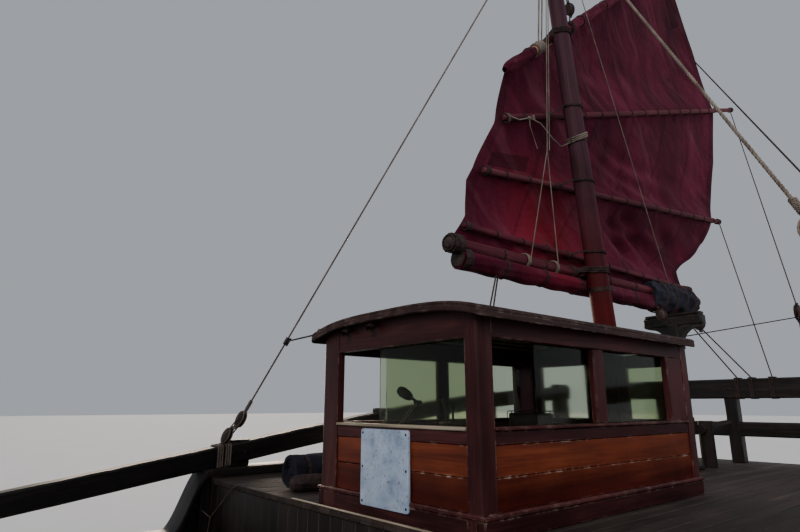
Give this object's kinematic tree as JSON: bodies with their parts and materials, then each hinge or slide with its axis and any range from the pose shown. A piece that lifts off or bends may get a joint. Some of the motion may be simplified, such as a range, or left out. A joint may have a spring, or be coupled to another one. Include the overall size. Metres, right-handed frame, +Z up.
{
  "type": "three-masted wooden fishing junk",
  "caption": "Wooden sailing junk afloat, with battened sails, varnished wheelhouse, stern rudder, propeller and windlass.",
  "frame": {"origin": "amidships on the centreline, in the plane of the waterline", "axes": "+X to the bow, +Y to port, +Z up"},
  "size_m": [22.3995, 6.68, 15.7161],
  "materials": {
    "hull_timber": "tarred and oiled hull planking",
    "rail_timber": "dark oiled timber, worn edges",
    "deck_planks": "worn deck planking",
    "varnished_panel": "glossy varnish",
    "mahogany_trim": "glossy dark varnish",
    "spar_wood": "oiled pole",
    "sailcloth": "dyed canvas",
    "rope": "laid rope",
    "bronze": "dull bronze",
    "window_glass": "clear, slightly tinted",
    "painted_board": "pale satin paint",
    "awning_canvas": "faded navy canvas",
    "seat_leather": "worn dark covering"
  },
  "bodies": {
    "ship": {"hull": "hull_timber", "keel": "hull_timber", "transom": "hull_timber", "bulwark_port": "hull_timber", "bulwark_starboard": "hull_timber", "quarter_rail_port": "rail_timber", "quarter_rail_starboard": "rail_timber", "stern_rail": "rail_timber", "mooring_bitts": "rail_timber", "boom_crutch": "rail_timber", "rolled_awning": "awning_canvas", "waist_deck": "deck_planks", "quarter_deck": "deck_planks", "fore_deck": "deck_planks", "hatch_coaming": "rail_timber", "windlass_posts": "rail_timber", "wheelhouse_front": "varnished_panel", "wheelhouse_aft": "varnished_panel", "wheelhouse_port": "varnished_panel", "wheelhouse_starboard": "varnished_panel", "wheelhouse_roof": "mahogany_trim", "pane_front": "window_glass", "pane_port": "window_glass", "pane_starboard": "window_glass", "sign_board": "painted_board", "helm_pedestal": "mahogany_trim", "helm_seat": "mahogany_trim", "seat_cushion": "seat_leather", "foremast": "spar_wood", "mainmast": "spar_wood", "mizzenmast": "spar_wood", "main_shroud_port": "rope", "main_shroud_starboard": "rope", "mizzen_shroud_port": "rope", "mizzen_shroud_starboard": "rope"},
    "rudder": {"rudder": "hull_timber"},
    "propeller": {"propeller": "bronze"},
    "windlass": {"windlass_barrel": "spar_wood"},
    "hatch_lid": {"hatch_lid": "deck_planks"},
    "cabin_door": {"wheelhouse_door": "mahogany_trim"},
    "helm": {"helm_wheel": "spar_wood"},
    "fore_rig": {"fore_sail": "sailcloth", "fore_boom": "spar_wood", "fore_batten_1": "spar_wood", "fore_batten_2": "spar_wood", "fore_batten_3": "spar_wood", "fore_yard": "spar_wood"},
    "main_rig": {"main_sail": "sailcloth", "main_boom": "spar_wood", "main_batten_1": "spar_wood", "main_batten_2": "spar_wood", "main_batten_3": "spar_wood", "main_batten_4": "spar_wood", "main_yard": "spar_wood"},
    "mizzen_rig": {"mizzen_sail": "sailcloth", "mizzen_boom": "spar_wood", "mizzen_batten_1": "spar_wood", "mizzen_batten_2": "spar_wood", "mizzen_batten_3": "spar_wood", "mizzen_yard": "spar_wood"}
  },
  "joints": [
    {"name": "rudder_steer", "type": "hinge", "parent": "ship", "child": "rudder", "pos_m": [-8.9, 0, 0], "axis": [0, 0, 1], "range_deg": [-35, 35]},
    {"name": "helm_turn", "type": "hinge", "parent": "ship", "child": "helm", "pos_m": [-4.15, 0, 2.08], "axis": [1, 0, 0], "range_deg": [-320, 320]},
    {"name": "propeller_spin", "type": "hinge", "parent": "ship", "child": "propeller", "pos_m": [-8.35, 0, -0.95], "axis": [1, 0, 0], "continuous": true},
    {"name": "windlass_turn", "type": "hinge", "parent": "ship", "child": "windlass", "pos_m": [6.15, 0, 2.13], "axis": [0, 1, 0], "continuous": true},
    {"name": "hatch_open", "type": "hinge", "parent": "ship", "child": "hatch_lid", "pos_m": [0, 0.67, 1.33], "axis": [1, 0, 0], "range_deg": [-100, 0]},
    {"name": "door_open", "type": "hinge", "parent": "ship", "child": "cabin_door", "pos_m": [-6.548, 0.8, 0], "axis": [0, 0, 1], "range_deg": [-110, 0]},
    {"name": "fore_swing", "type": "hinge", "parent": "ship", "child": "fore_rig", "pos_m": [7.3, 0, 1.7], "axis": [0.1044, 0, 0.9945], "range_deg": [-60, 60]},
    {"name": "main_swing", "type": "hinge", "parent": "ship", "child": "main_rig", "pos_m": [2.8, 0, 1], "axis": [0.026, 0, 0.9997], "range_deg": [-60, 60]},
    {"name": "mizzen_swing", "type": "hinge", "parent": "ship", "child": "mizzen_rig", "pos_m": [-6.84, 0, 1.755], "axis": [0.1162, 0, 0.9932], "range_deg": [-60, 60]}
  ],
  "couplings": [
    {"joint": "helm_turn", "follows": "rudder_steer", "ratio": 9}
  ]
}
